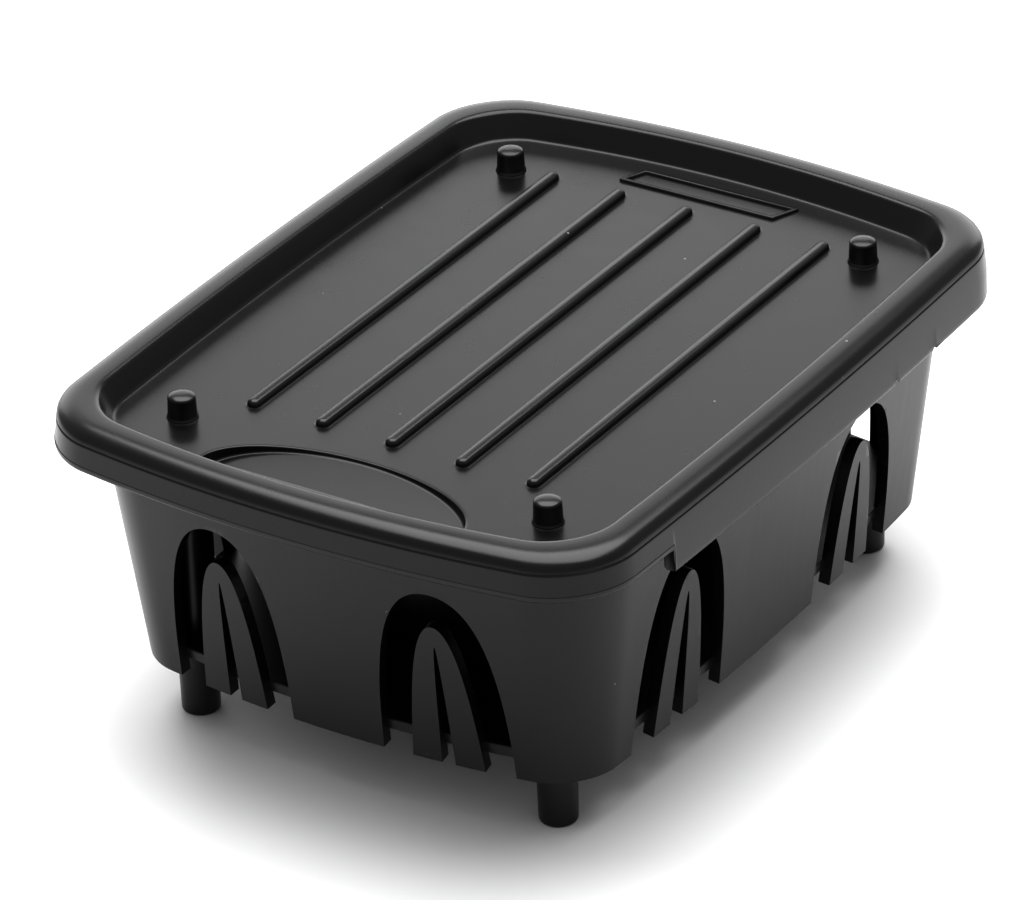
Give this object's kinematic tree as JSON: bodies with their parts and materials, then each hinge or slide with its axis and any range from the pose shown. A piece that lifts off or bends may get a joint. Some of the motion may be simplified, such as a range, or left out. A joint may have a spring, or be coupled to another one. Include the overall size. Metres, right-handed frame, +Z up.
{
  "type": "bait station",
  "caption": "Low drafted tub on short legs with arched insect doorways, ramp tongues, a ribbed lift-off lid and a removable bait tray.",
  "frame": {"origin": "on the ground under the middle of the station", "axes": "+Z up, +Y to the rear, away from the thumb recess in the lid, +X to the right seen from the front"},
  "size_m": [0.068, 0.0887, 0.0368],
  "materials": {
    "moulded_black": "semi-gloss moulded black polypropylene",
    "tray_black": "satin moulded black polypropylene",
    "bait": "pressed brown bait cake, grainy and dull"
  },
  "bodies": {
    "station": {"base": "moulded_black"},
    "cover": {"lid": "moulded_black"},
    "tray": {"bait_tray": "tray_black", "bait_front": "bait", "bait_rear": "bait"}
  },
  "joints": [
    {"name": "lid_lift", "type": "slide", "parent": "station", "child": "cover", "axis": [0, 0, 1], "range_m": [0, 0.07]},
    {"name": "tray_lift", "type": "slide", "parent": "station", "child": "tray", "axis": [0, 0, 1], "range_m": [0, 0.035]}
  ],
  "couplings": [
    {"joint": "tray_lift", "follows": "lid_lift", "ratio": 0.5}
  ]
}
